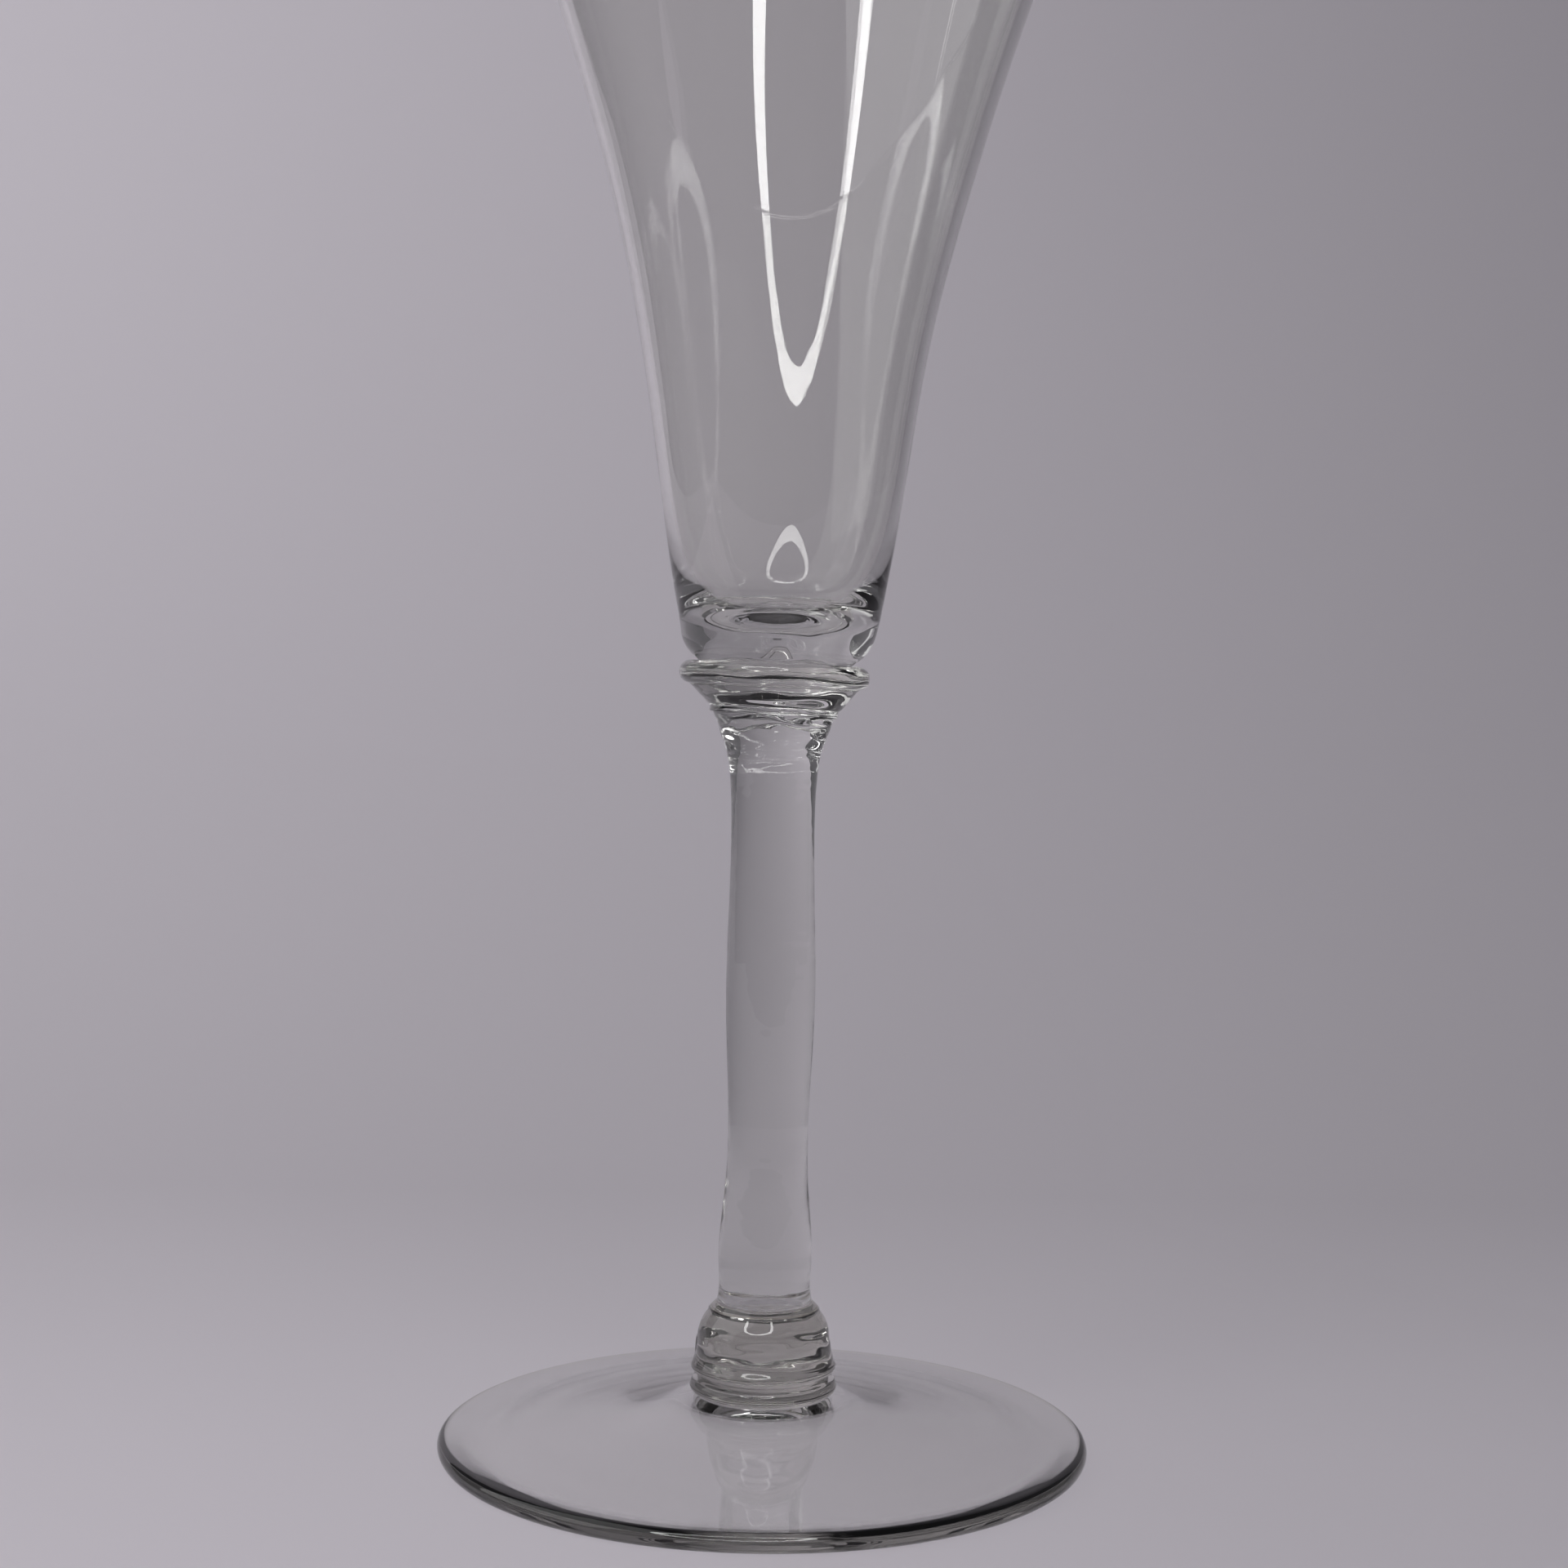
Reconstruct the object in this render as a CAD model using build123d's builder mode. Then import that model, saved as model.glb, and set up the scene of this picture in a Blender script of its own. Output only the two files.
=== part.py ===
"""Champagne flute in clear hot-worked glass: a trumpet bowl, a collared solid stem and a spread foot.

Millimetres, +Z up, origin at the centre of the foot's underside. Each piece is a gather of glass of its
own, shaped hot and fused to its neighbour over a flat round joint, so the pieces touch face to face.
"""
import os
from build123d import *

# Driving dimensions: overall sizes
overall_height = 180.0
foot_radius = 35.0
rim_radius = 33.8

# Flat round joints where one gather was fused to the next: height above the table, and radius
foot_joint_z, foot_joint_r = 6.05, 7.2
button_joint_z, button_joint_r = 8.2, 6.85
knop_joint_z, knop_joint_r = 16.1, 5.15
stem_joint_z, stem_joint_r = 80.2, 6.95
cone_joint_z, cone_joint_r = 82.5, 9.1
bowl_joint_z, bowl_joint_r = 85.0, 8.2

# Foot: a thin spread disc that stands on a narrow ring
foot_edge_thickness = 2.0
foot_edge_round = 0.9
rest_ring_inner = 30.5
rest_ring_outer = 34.0
foot_hollow = 4.15

# Radii of the button, the lipped knop and the collar at their widest
button_radius = 7.95
knop_lip_radius = 7.85
knop_body_radius = 7.3
collar_radius = 10.25

# Stem: slightly waisted, then flared into a funnel under the collar
stem_crease_radius = 4.94
stem_foot_radius = 5.02
stem_waist_radius = 4.48
stem_middle_radius = 4.8
stem_neck_radius = 4.5

# Bowl: where its rounded bottom ends outside and its thin wall ends inside, its floor with a low rise in
# the middle, and the polished rim
bowl_bottom = (10.44, 88.0)
wall_foot = (11.87, 103.0)
floor_heel = (9.09, 92.9)
bowl_floor_z = 88.6
floor_rise = 0.4
floor_rise_radius = 2.1
rim_thickness = 1.1

os.makedirs("parts", exist_ok=True)


def close_to_axis(start, end):
    """Close an outline with the flat at its upper end, the axis, and the flat at its lower end."""
    return Polyline(end, (0, end[1]), (0, start[1]), start)


# Foot: a shallow cone of even thickness, hollow underneath, up to the joint at its centre
top_edge = (foot_radius - foot_edge_round, foot_edge_thickness)
with BuildPart() as foot:
    with BuildSketch(Plane.XZ):
        with BuildLine():
            Spline(
                (0, foot_hollow), (8, 3.65), (14, 2.45), (22, 1.1), (rest_ring_inner, 0),
                tangents=[(1, 0), (1, -0.12)],
            )
            Line((rest_ring_inner, 0), (rest_ring_outer, 0))
            ThreePointArc((rest_ring_outer, 0), (foot_radius, foot_edge_round), top_edge)
            Spline(
                top_edge, (24, 3.05), (14, 4.55), (8.5, 5.72), (foot_joint_r, foot_joint_z),
                tangents=[(-1, 0.09), (-1, 0.27)],
            )
            Polyline((foot_joint_r, foot_joint_z), (0, foot_joint_z), (0, foot_hollow))
        make_face()
    revolve(axis=Axis.Z)
foot.part.label = "foot"
export_step(foot.part, "parts/foot.step")

# Button: the small flattened gather that joins the stem to the foot
with BuildPart() as foot_button:
    with BuildSketch(Plane.XZ):
        with BuildLine():
            bottom, top = (foot_joint_r, foot_joint_z), (button_joint_r, button_joint_z)
            Spline(bottom, (button_radius, 6.95), (7.6, 7.75), top, tangents=[(1, 0.7), (-0.7, 1)])
            close_to_axis(bottom, top)
        make_face()
    revolve(axis=Axis.Z)
foot_button.part.label = "foot_button"
export_step(foot_button.part, "parts/foot_button.step")

# Knop: a drum with a rolled lip at its lower edge and a domed shoulder, creased where it meets the stem
with BuildPart() as base_knop:
    with BuildSketch(Plane.XZ):
        with BuildLine():
            bottom, top = (button_joint_r, button_joint_z), (knop_joint_r, knop_joint_z)
            Spline(
                bottom, (7.62, 8.65), (knop_lip_radius, 9.15), (7.62, 9.8), (knop_body_radius, 11.2),
                (7.2, 12.3), (6.96, 13.3), (6.4, 14.5), (5.72, 15.5), top,
                tangents=[(1, 0.25), (-1, 1)],
            )
            close_to_axis(bottom, top)
        make_face()
    revolve(axis=Axis.Z)
base_knop.part.label = "base_knop"
export_step(base_knop.part, "parts/base_knop.step")

# Stem: a solid drawn rod, thicker at its foot, with its top opened out into a funnel
with BuildPart() as stem:
    with BuildSketch(Plane.XZ):
        with BuildLine():
            bottom, top = (knop_joint_r, knop_joint_z), (stem_joint_r, stem_joint_z)
            Spline(
                bottom, (stem_crease_radius, 17.8), (stem_foot_radius, 19.8),
                (stem_waist_radius, 29.0), (stem_middle_radius, 48.0),
                (stem_neck_radius, 68.5), (5.1, 75.5), (6.05, 78.3), (6.8, 79.7), top,
                tangents=[(-0.2, 1), (0.1, 1)],
            )
            close_to_axis(bottom, top)
        make_face()
    revolve(axis=Axis.Z)
stem.part.label = "stem"
export_step(stem.part, "parts/stem.step")

# Collar cone: the tapered gather between the funnel and the collar
with BuildPart() as collar_cone:
    with BuildSketch(Plane.XZ):
        with BuildLine():
            bottom, top = (stem_joint_r, stem_joint_z), (cone_joint_r, cone_joint_z)
            Bezier(bottom, (7.2, 80.25), (8.1, 81.5), top)
            close_to_axis(bottom, top)
        make_face()
    revolve(axis=Axis.Z)
collar_cone.part.label = "collar_cone"
export_step(collar_cone.part, "parts/collar_cone.step")

# Collar: the round-edged disc that the bowl stands on
with BuildPart() as collar:
    with BuildSketch(Plane.XZ):
        with BuildLine():
            bottom, top = (cone_joint_r, cone_joint_z), (cone_joint_r, bowl_joint_z)
            ThreePointArc(bottom, (collar_radius, (cone_joint_z + bowl_joint_z) / 2), top)
            close_to_axis(bottom, top)
        make_face()
    revolve(axis=Axis.Z)
collar.part.label = "collar"
export_step(collar.part, "parts/collar.step")

# Bowl: a trumpet with a rounded bottom; its wall is even down to wall_foot, then thickens into the floor
rim_base_z = overall_height - rim_thickness / 2
rim_inner_radius = rim_radius - rim_thickness
floor_top_z = bowl_floor_z + floor_rise
with BuildPart() as bowl:
    with BuildSketch(Plane.XZ):
        with BuildLine():
            Line((0, bowl_joint_z), (bowl_joint_r, bowl_joint_z))
            Bezier((bowl_joint_r, bowl_joint_z), (9.1, 85.6), (10.15, 86.6), bowl_bottom)
            Bezier(bowl_bottom, (16.07, 116.64), (12.15, 120.84), (rim_radius, rim_base_z))
            ThreePointArc(
                (rim_radius, rim_base_z),
                (rim_radius - rim_thickness / 2, overall_height),
                (rim_inner_radius, rim_base_z),
            )
            Bezier((rim_inner_radius, rim_base_z), (15.42, 132.68), (14.43, 120.55), wall_foot)
            Bezier(wall_foot, (11.16, 98.8), (10.37, 95.4), floor_heel)
            Bezier(floor_heel, (7.8, 90.3), (5.5, bowl_floor_z), (floor_rise_radius, bowl_floor_z))
            Bezier((floor_rise_radius, bowl_floor_z), (1.2, bowl_floor_z), (1.0, floor_top_z), (0, floor_top_z))
            Line((0, floor_top_z), (0, bowl_joint_z))
        make_face()
    revolve(axis=Axis.Z)
bowl.part.label = "bowl"
export_step(bowl.part, "parts/bowl.step")
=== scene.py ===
"""Looks of the champagne flute: seven gathers of clear glass, fused end to end, on a pale sweep.

Each piece is turned at high resolution from its CAD node's own outline. Every piece then goes
through the same hand-made deformation, so neighbours still meet face to face. Metres throughout,
apart from the tables that say mm.
"""
import math

import bpy
import numpy as np
from mathutils import Matrix, Vector, noise

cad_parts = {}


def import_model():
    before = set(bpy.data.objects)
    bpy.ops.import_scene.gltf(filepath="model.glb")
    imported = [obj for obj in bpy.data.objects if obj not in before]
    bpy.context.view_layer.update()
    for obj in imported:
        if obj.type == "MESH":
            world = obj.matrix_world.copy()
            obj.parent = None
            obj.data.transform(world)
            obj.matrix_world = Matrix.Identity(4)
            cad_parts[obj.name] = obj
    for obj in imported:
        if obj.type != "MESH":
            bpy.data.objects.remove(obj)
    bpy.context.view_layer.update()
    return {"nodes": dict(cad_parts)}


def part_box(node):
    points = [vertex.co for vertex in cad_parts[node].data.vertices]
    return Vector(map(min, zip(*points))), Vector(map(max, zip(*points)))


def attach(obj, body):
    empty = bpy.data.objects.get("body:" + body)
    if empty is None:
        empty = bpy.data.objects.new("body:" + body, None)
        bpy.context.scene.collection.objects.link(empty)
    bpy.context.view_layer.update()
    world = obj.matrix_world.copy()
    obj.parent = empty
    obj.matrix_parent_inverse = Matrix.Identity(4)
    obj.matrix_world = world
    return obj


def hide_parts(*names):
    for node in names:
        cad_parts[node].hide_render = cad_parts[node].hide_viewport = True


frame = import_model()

MM = 0.001

# Heights of the flat joints between the pieces, from the frame
foot_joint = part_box("foot")[1].z
button_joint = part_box("base_knop")[0].z
knop_joint, stem_joint = (corner.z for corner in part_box("stem"))
cone_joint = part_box("collar")[0].z
bowl_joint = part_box("bowl")[0].z
JOINTS = {
    "foot": [foot_joint],
    "foot_button": [foot_joint, button_joint],
    "base_knop": [button_joint, knop_joint],
    "stem": [knop_joint, stem_joint],
    "collar_cone": [stem_joint, cone_joint],
    "collar": [cone_joint, bowl_joint],
    "bowl": [bowl_joint],
}

SEGMENTS = 256  # round each turned piece
FINE_STEP = 0.25 * MM  # along an outline
BOWL_STEP = 0.7 * MM  # along the bowl's long wall
CORNER_TURN = math.radians(25)  # an outline has a corner where it turns more than this
SLACKER = 3.2  # and its curve changes where one stretch is this many times longer than the next
ON_AXIS = 1e-6  # a point nearer the axis than this is on it
SAME_HEIGHT = 1e-6


# ---------------------------------------------------------------- outlines from the frame

def outline(node):
    """The CAD node's own outline, as (radius, height) points from the axis to the axis."""
    mesh = frame["nodes"][node].data
    key = {}
    for v in mesh.vertices:
        if abs(v.co.y) < 1e-7 and v.co.x > -1e-7:
            key[v.index] = (round(max(v.co.x, 0.0), 7), round(v.co.z, 7))
    links = {p: set() for p in key.values()}
    for e in mesh.edges:
        a, b = (key.get(i) for i in e.vertices)
        if a and b and a != b:
            links[a].add(b)
            links[b].add(a)
    ends = [p for p, near in links.items() if len(near) == 1]
    start = min(ends, key=lambda p: (p[1], p[0]))
    chain, last = [start], None
    while True:
        onward = [p for p in links[chain[-1]] if p != last]
        if not onward:
            break
        last = chain[-1]
        chain.append(onward[0])
    if chain[0][0] > 0:
        chain.insert(0, (0.0, chain[0][1]))
    if chain[-1][0] > 0:
        chain.append((0.0, chain[-1][1]))
    return np.array(chain)


def smooth_run(points, step):
    """Points at about the given step along the natural cubic spline through the given points."""
    n = len(points)
    t = np.concatenate([[0], np.cumsum(np.linalg.norm(np.diff(points, axis=0), axis=1))])
    count = max(2, int(math.ceil(t[-1] / step)) + 1)
    where = np.linspace(0, t[-1], count)
    if n == 2:
        return np.array([np.interp(where, t, points[:, k]) for k in (0, 1)]).T
    h = np.diff(t)
    a = np.eye(n)
    b = np.zeros((n, 2))
    for i in range(1, n - 1):
        a[i, i - 1:i + 2] = h[i - 1], 2 * (h[i - 1] + h[i]), h[i]
        b[i] = 6 * ((points[i + 1] - points[i]) / h[i] - (points[i] - points[i - 1]) / h[i - 1])
    m = np.linalg.solve(a, b)
    k = np.clip(np.searchsorted(t, where, side="right") - 1, 0, n - 2)
    u, v, w = (t[k + 1] - where)[:, None], (where - t[k])[:, None], h[k][:, None]
    return (
        (m[k] * u**3 + m[k + 1] * v**3) / (6 * w)
        + (points[k] / w - m[k] * w / 6) * u
        + (points[k + 1] / w - m[k + 1] * w / 6) * v
    )


def resample(points, step):
    """The outline at an even step, smooth between its corners and its changes of curve."""
    d = np.diff(points, axis=0)
    length = np.linalg.norm(d, axis=1)
    heading = np.unwrap(np.arctan2(d[:, 1], d[:, 0]))
    turn = np.abs(np.diff(heading))
    uneven = np.maximum(length[1:] / length[:-1], length[:-1] / length[1:])
    ends = [i + 1 for i in range(len(turn)) if turn[i] > CORNER_TURN or uneven[i] > SLACKER]
    corners = [0, *ends, len(points) - 1]
    runs = [smooth_run(points[a:b + 1], step) for a, b in zip(corners, corners[1:])]
    return np.concatenate([runs[0], *(run[1:] for run in runs[1:])])


# ---------------------------------------------------------------- the hand-made deformation

def ramp(x, low, high):
    """Smooth step from 0 at low to 1 at high."""
    t = min(1.0, max(0.0, (x - low) / (high - low)))
    return t * t * (3 - 2 * t)


def along(z, points):
    """The value at a height, eased between a table's points."""
    z /= MM
    if z <= points[0][0]:
        return points[0][1]
    for (z0, v0), (z1, v1) in zip(points, points[1:]):
        if z < z1:
            return v0 + (v1 - v0) * ramp(z, z0, z1)
    return points[-1][1]


# Each table is (height in mm, value). How far the centre line drifts to +X, in mm: the stem bows a
# little and the bowl leans off its collar
DRIFT = [
    (16, 0.0), (46, 0.21), (72, 0.2), (83, 0.12), (90, 0.6), (112, 0.72), (141, 1.12), (180, 1.3),
]
# How far the rings of the glass slope down towards +X: most at the cone's seam, then at the collar
SLOPE = [(72, 0.0), (80.2, 0.055), (82.5, 0.03), (85, 0.03), (89, 0.0)]
# Depth of the tool marks, in mm, where the glass was worked with the jacks
MARKS = [
    (5.0, 0.0), (8.2, 0.06), (9.6, 0.13), (12.6, 0.12), (13.8, 0.035), (17, 0.035), (24, 0.01),
    (68, 0.01), (73, 0.03), (76, 0.08), (79, 0.14), (85, 0.14), (87, 0.03), (90, 0.0),
]
MARK_PITCH = 2.2 * MM  # height from one tool mark to the next
MARK_FADE = 4 * MM  # the marks and the seam's wave die away inside these radii
SEAM_FADE = 7 * MM
SEAM_WAVE = 0.12 * MM  # how far the collar's seams wander up and down
SEAMS = (0.074, 0.080, 0.084, 0.092)  # they start, are full from, are full to, and end here


def by_hand(p):
    """Where a point of the true, turned glass lies on the hand-made one."""
    x, y, z = p
    r = math.hypot(x, y)
    if r > ON_AXIS:
        around = math.atan2(y, x)
        c, s = x / r, y / r
        winding = z / MARK_PITCH + around / (2 * math.pi)  # the marks climb one pitch per turn
        mark = noise.noise(Vector((1.1 * c, 1.1 * s, winding)))
        mark += 0.6 * noise.noise(Vector((2.4 * c, 2.4 * s, 2.7 * winding + 7)))  # finer marks
        r += along(z, MARKS) * MM * mark * min(1.0, r / MARK_FADE)
        x, y = r * c, r * s
        wave = noise.noise(Vector((1.6 * c, 1.6 * s, 3.0))) * min(1.0, r / SEAM_FADE)
        z += SEAM_WAVE * wave * ramp(z, *SEAMS[:2]) * (1 - ramp(z, *SEAMS[2:]))
    return Vector((x + along(z, DRIFT) * MM, y, z - along(z, SLOPE) * x))


WALL_WAVE = 0.03 * MM  # how much the bowl's wall varies in thickness round it
STREAK = 0.3  # height over which its long upright streaks change
STREAKS = (0.100, 0.130, 0.150, 0.179)  # they start, are full from, are full to, and end here


def inside_by_hand(p):
    """The same for a point inside the bowl, where the wall's thickness also wanders."""
    x, y, z = p
    r = math.hypot(x, y)
    if r < ON_AXIS:
        return by_hand(p)
    c, s = x / r, y / r
    wave = noise.noise(Vector((4.5 * c, 4.5 * s, z / STREAK + 11)))
    wave += 0.5 * noise.noise(Vector((11 * c, 11 * s, z / STREAK + 5)))
    fade = ramp(z, *STREAKS[:2]) * (1 - ramp(z, *STREAKS[2:]))
    k = 1 + WALL_WAVE * wave * fade / r
    return by_hand((x * k, y * k, z))


# ---------------------------------------------------------------- turned pieces

def turned(name, step=FINE_STEP):
    """A closed mesh of the node's outline, in glass.

    The faces of its flat joints have the second material, and those of the foot's edge the third.
    """
    points = resample(outline(name), step)
    rim = int(np.argmax(points[:, 1]))  # a bowl's outline goes up its outside and down its inside
    edge = RIM_SHARE * points[:, 0].max() if name == "foot" else math.inf
    rings, verts, faces, joint, slots = [], [], [], [], []
    for k, (r, z) in enumerate(points):
        shaped = inside_by_hand if name == "bowl" and k > rim else by_hand
        if r < ON_AXIS:
            rings.append([len(verts)])
            verts.append(shaped((0.0, 0.0, z)))
            continue
        first = len(verts)
        rings.append(range(first, first + SEGMENTS))
        for i in range(SEGMENTS):
            angle = 2 * math.pi * i / SEGMENTS
            verts.append(shaped((r * math.cos(angle), r * math.sin(angle), z)))
    joints = JOINTS[name]
    for (low, high), (a, b) in zip(zip(points, points[1:]), zip(rings, rings[1:])):
        flat = any(max(abs(low[1] - z), abs(high[1] - z)) < SAME_HEIGHT for z in joints)
        for i in range(SEGMENTS):
            j = (i + 1) % SEGMENTS
            if len(a) == 1:
                faces.append((a[0], b[j], b[i]))
            elif len(b) == 1:
                faces.append((a[i], a[j], b[0]))
            else:
                faces.append((a[i], a[j], b[j], b[i]))
            joint.append(flat)
            slots.append(1 if flat else 2 if min(low[0], high[0]) > edge else 0)
    mesh = bpy.data.meshes.new(name + "_glass")
    mesh.from_pydata(verts, [], faces)
    mesh.polygons.foreach_set("use_smooth", [not flat for flat in joint])
    mesh.materials.append(GLASS_OF.get(name, THIN_GLASS))
    mesh.materials.append(FUSED)
    mesh.materials.append(SHADED_EDGE_GLASS)
    mesh.polygons.foreach_set("material_index", slots)
    mesh.update()
    piece = bpy.data.objects.new(name + "_glass", mesh)
    bpy.context.scene.collection.objects.link(piece)
    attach(piece, "root")
    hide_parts(name)
    return piece


def new_material(name):
    """An empty node material with its output node."""
    material = bpy.data.materials.new(name)
    material.use_nodes = True
    nodes, links = material.node_tree.nodes, material.node_tree.links
    nodes.clear()
    return material, nodes, links, nodes.new("ShaderNodeOutputMaterial")


LAMP_SHARE = 0.94  # of the lamps' light that each surface lets through to the floor


def glass_material(name, color, absorption):
    """Clear glass: long ways through it come out darker, and lamps shine through to the floor.

    The absorption is per metre of glass.
    """
    material, nodes, links, out = new_material(name)

    def maths(operation, *values):
        node = nodes.new("ShaderNodeMath")
        node.operation = operation
        for socket, value in zip(node.inputs, values):
            if isinstance(value, float):
                socket.default_value = value
            else:
                links.new(value, socket)
        return node.outputs[0]

    glass = nodes.new("ShaderNodeBsdfPrincipled")
    glass.inputs["Base Color"].default_value = (*color, 1)
    glass.inputs["Roughness"].default_value = 0.0
    glass.inputs["IOR"].default_value = 1.5
    glass.inputs["Transmission Weight"].default_value = 1.0
    path = nodes.new("ShaderNodeLightPath")
    side = nodes.new("ShaderNodeNewGeometry")
    kept = maths("EXPONENT", maths("MULTIPLY", path.outputs["Ray Length"], -absorption))
    lost = maths("MULTIPLY", maths("SUBTRACT", 1.0, kept), side.outputs["Backfacing"])
    floor_ray = maths("MAXIMUM", path.outputs["Is Shadow Ray"], path.outputs["Is Diffuse Ray"])
    through = nodes.new("ShaderNodeBsdfTransparent")
    links.new(maths("MULTIPLY", floor_ray, LAMP_SHARE), through.inputs["Color"])
    mix = nodes.new("ShaderNodeMixShader")
    links.new(maths("MAXIMUM", floor_ray, lost), mix.inputs[0])
    links.new(glass.outputs[0], mix.inputs[1])
    links.new(through.outputs[0], mix.inputs[2])
    links.new(mix.outputs[0], out.inputs["Surface"])
    return material


def fused_material():
    """The face where two gathers are fused: there is no surface left to see."""
    material, nodes, links, out = new_material("fused_joint")
    clear = nodes.new("ShaderNodeBsdfTransparent")
    links.new(clear.outputs[0], out.inputs["Surface"])
    return material


THIN_GLASS = glass_material("clear_glass", (0.95, 0.95, 0.938), 17.0)
# The same glass in darker, more olive copies, as painted shade where it is seen through a long way
# of it, round the collar, and at the foot's edge
SHADED_THICK_GLASS = glass_material("shaded_thick_glass", (0.80, 0.785, 0.735), 17.0)
SHADED_COLLAR_GLASS = glass_material("collar_glass", (0.93, 0.925, 0.875), 12.0)
SHADED_EDGE_GLASS = glass_material("shaded_edge_glass", (0.94, 0.935, 0.86), 11.0)
GLASS_OF = {
    "foot_button": SHADED_THICK_GLASS,
    "base_knop": SHADED_THICK_GLASS,
    "collar_cone": SHADED_COLLAR_GLASS,
    "collar": SHADED_COLLAR_GLASS,
}
RIM_SHARE = 0.972  # the foot's edge starts at this share of its radius
FUSED = fused_material()
for node in JOINTS:
    turned(node, BOWL_STEP if node == "bowl" else FINE_STEP)


# ---------------------------------------------------------------- stage

def sweep():
    """A seamless pale sheet: table, a wide curve and a wall behind; its colour has painted light.
    """
    front, bend_start, bend, wall_top, half_width = -0.22, 0.12, 0.8, 1.7, 0.6
    gap = 0.05 * MM  # a hair's breadth of air under the rest ring keeps the sheet clear
    line = [(front, 0.0), (bend_start, 0.0)]
    steps = 48
    for i in range(1, steps + 1):
        a = math.pi / 2 * i / steps
        line.append((bend_start + bend * math.sin(a), bend - bend * math.cos(a)))
    line.append((bend_start + bend, wall_top))
    verts = [(side * half_width, y, z - gap) for y, z in line for side in (-1, 1)]
    faces = [(2 * i, 2 * i + 1, 2 * i + 3, 2 * i + 2) for i in range(len(line) - 1)]
    mesh = bpy.data.meshes.new("sweep")
    mesh.from_pydata(verts, [], faces)
    mesh.polygons.foreach_set("use_smooth", [True] * len(faces))
    material, nodes, links, out = new_material("sweep")
    paper = nodes.new("ShaderNodeBsdfPrincipled")
    place = nodes.new("ShaderNodeTexCoord")
    axes = nodes.new("ShaderNodeSeparateXYZ")
    links.new(place.outputs["Object"], axes.inputs[0])
    # Painted light: the paper is coloured lighter to the left and darker to the right, as if more
    # light fell from the left
    away = nodes.new("ShaderNodeMath")
    away.operation = "ADD"
    away.inputs[1].default_value = 0.3
    links.new(axes.outputs["Y"], away.inputs[0])
    aside = nodes.new("ShaderNodeMath")
    aside.operation = "DIVIDE"
    links.new(axes.outputs["X"], aside.inputs[0])
    links.new(away.outputs[0], aside.inputs[1])
    painted_side_light = nodes.new("ShaderNodeValToRGB")
    painted_side_light.color_ramp.elements[0].color = (0.728, 0.686, 0.744, 1)
    painted_side_light.color_ramp.elements[1].color = (0.572, 0.541, 0.588, 1)
    span = nodes.new("ShaderNodeMapRange")
    span.inputs["From Min"].default_value = -0.4
    span.inputs["From Max"].default_value = 0.4
    links.new(aside.outputs[0], span.inputs["Value"])
    links.new(span.outputs[0], painted_side_light.inputs[0])
    depth = nodes.new("ShaderNodeMapRange")  # painted shade: the paper's colour is a little darker where it starts to rise
    depth.inputs["From Min"].default_value = 0.0
    depth.inputs["From Max"].default_value = 0.8
    links.new(axes.outputs["Y"], depth.inputs["Value"])
    shade = nodes.new("ShaderNodeValToRGB")
    for stop, value in ((0.17, 0.84), (0.55, 0.9)):
        shade.color_ramp.elements.new(stop).color = (value, value, value, 1)
    shade.color_ramp.elements[0].color = (0.99, 0.99, 0.99, 1)
    links.new(depth.outputs[0], shade.inputs[0])
    both = nodes.new("ShaderNodeVectorMath")
    both.operation = "MULTIPLY"
    links.new(painted_side_light.outputs[0], both.inputs[0])
    links.new(shade.outputs[0], both.inputs[1])
    links.new(both.outputs[0], paper.inputs["Base Color"])
    paper.inputs["Roughness"].default_value = 0.85
    links.new(paper.outputs[0], out.inputs["Surface"])
    mesh.materials.append(material)
    sheet = bpy.data.objects.new("sweep", mesh)
    bpy.context.scene.collection.objects.link(sheet)


def aim(obj, target):
    """Turns a lamp so that it faces the target."""
    obj.rotation_euler = (Vector(target) - obj.location).to_track_quat("-Z", "Y").to_euler()


def area_light(name, location, target, size, watts, color=(1, 1, 1)):
    """A rectangular soft lamp."""
    data = bpy.data.lights.new(name, "AREA")
    data.shape = "RECTANGLE"
    data.size, data.size_y = size
    data.energy = watts
    data.color = color
    lamp = bpy.data.objects.new(name, data)
    bpy.context.scene.collection.objects.link(lamp)
    lamp.location = location
    aim(lamp, target)
    return lamp


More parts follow.
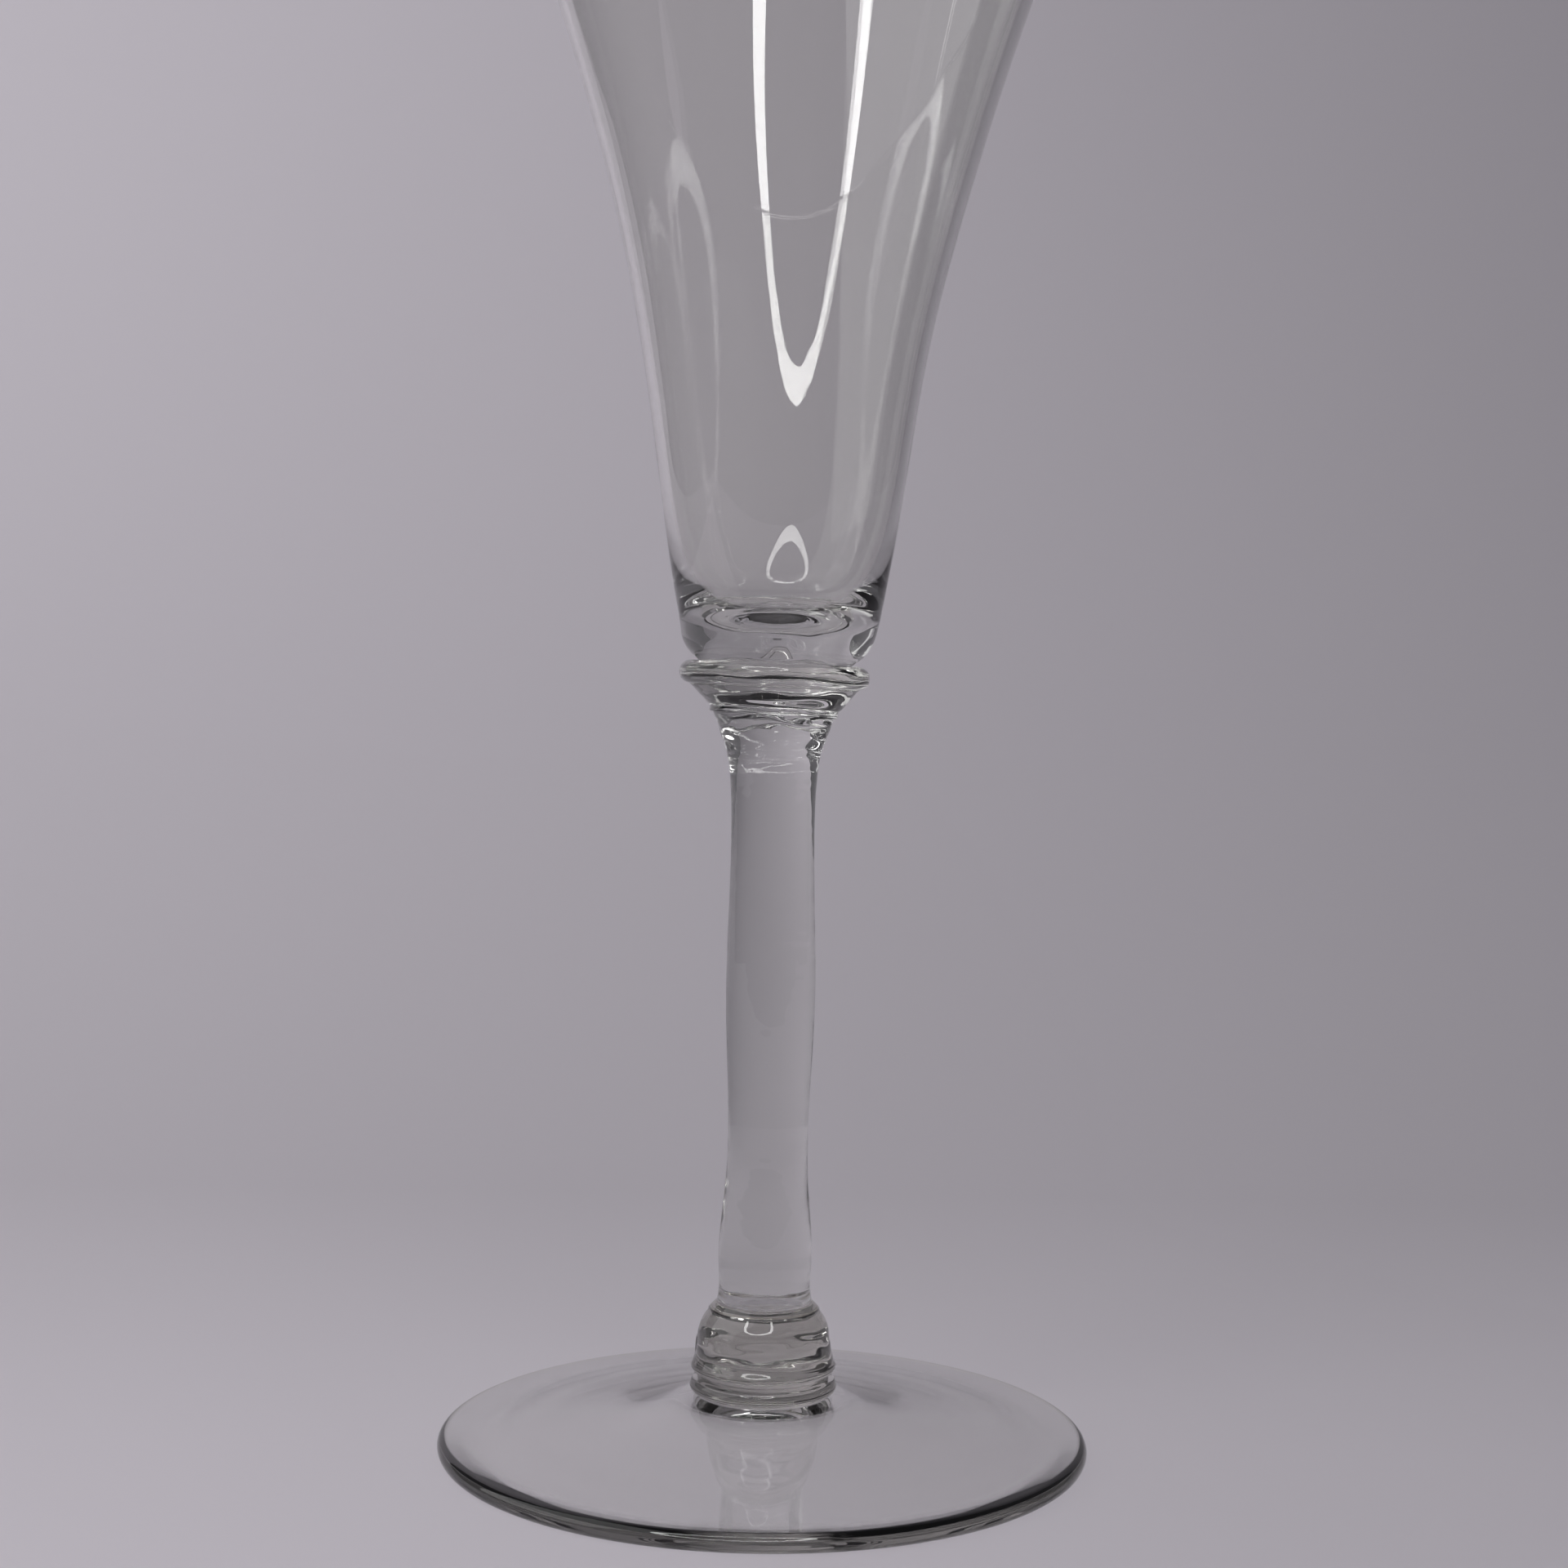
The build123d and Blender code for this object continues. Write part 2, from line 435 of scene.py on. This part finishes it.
def ring_light(azimuth, elevation, distance, radius, stretch, band, watts):
    """A nearly round lamp whose middle is dark, to the camera's left and above it."""
    a, e = math.radians(azimuth), math.radians(elevation)
    target = Vector((0, 0, 0.08))
    way = Vector((math.sin(a) * math.cos(e), -math.cos(a) * math.cos(e), math.sin(e)))
    data = bpy.data.lights.new("ring_light", "AREA")
    data.shape = "ELLIPSE"
    data.size = stretch * (2 * radius + band)
    data.size_y = 2 * radius + band
    data.energy = watts
    data.use_nodes = True
    nodes, links = data.node_tree.nodes, data.node_tree.links
    emission = nodes["Emission"]
    geometry = nodes.new("ShaderNodeNewGeometry")
    middle = nodes.new("ShaderNodeVectorMath")
    middle.operation = "DISTANCE"
    middle.inputs[1].default_value = (0.5, 0.5, 0)
    inside = nodes.new("ShaderNodeMath")
    inside.operation = "GREATER_THAN"
    inside.inputs[1].default_value = 0.5 * (2 * radius - band) / (2 * radius + band)
    flat = nodes.new("ShaderNodeVectorMath")
    flat.operation = "MULTIPLY"
    flat.inputs[1].default_value = (1, 1, 0)
    links.new(geometry.outputs["Parametric"], flat.inputs[0])
    links.new(flat.outputs[0], middle.inputs[0])
    links.new(middle.outputs["Value"], inside.inputs[0])
    links.new(inside.outputs[0], emission.inputs["Strength"])
    lamp = bpy.data.objects.new("ring_light", data)
    bpy.context.scene.collection.objects.link(lamp)
    lamp.location = target + way * distance
    aim(lamp, target)


def camera():
    """The camera, a little above the middle of the glass and looking slightly down."""
    distance, height, aside = 0.2752, 0.0836, 0.00132
    pitch, roll = math.radians(2.407), math.radians(0.85)
    sensor, focal_share = 36.0, 3140 / 1920  # focal length as a share of the picture's width
    data = bpy.data.cameras.new("camera")
    data.sensor_width = sensor
    data.lens = sensor * focal_share
    data.clip_start = 0.01
    cam = bpy.data.objects.new("camera", data)
    bpy.context.scene.collection.objects.link(cam)
    cam.matrix_world = (
        Matrix.Translation((aside, -distance, height))
        @ Matrix.Rotation(math.pi / 2 - pitch, 4, "X")
        @ Matrix.Rotation(roll, 4, "Z")
    )
    bpy.context.scene.camera = cam


def world(color, strength):
    """Dim even light from the room."""
    w = bpy.data.worlds.new("room")
    w.use_nodes = True
    background = w.node_tree.nodes["Background"]
    background.inputs["Color"].default_value = (*color, 1)
    background.inputs["Strength"].default_value = strength
    bpy.context.scene.world = w


sweep()
ring_light(
    azimuth=-12, elevation=50, distance=0.6, radius=0.23, stretch=1.06, band=0.045, watts=6.5,
)
area_light("wall_wash", (-0.45, 0.1, 0.75), (-0.3, 0.9, 0.72), (0.7, 0.25), 1.7)
area_light("left_window", (-1.15, -0.1, 1.0), (-0.1, 0.0, 0.0), (1.7, 1.7), 9.0)
world((0.9, 0.88, 0.95), 0.12)
camera()

view = bpy.context.scene.view_settings
view.view_transform = "Standard"
paths = bpy.context.scene.cycles
paths.max_bounces = 24
paths.transmission_bounces = 24
paths.glossy_bounces = 12
paths.transparent_max_bounces = 64
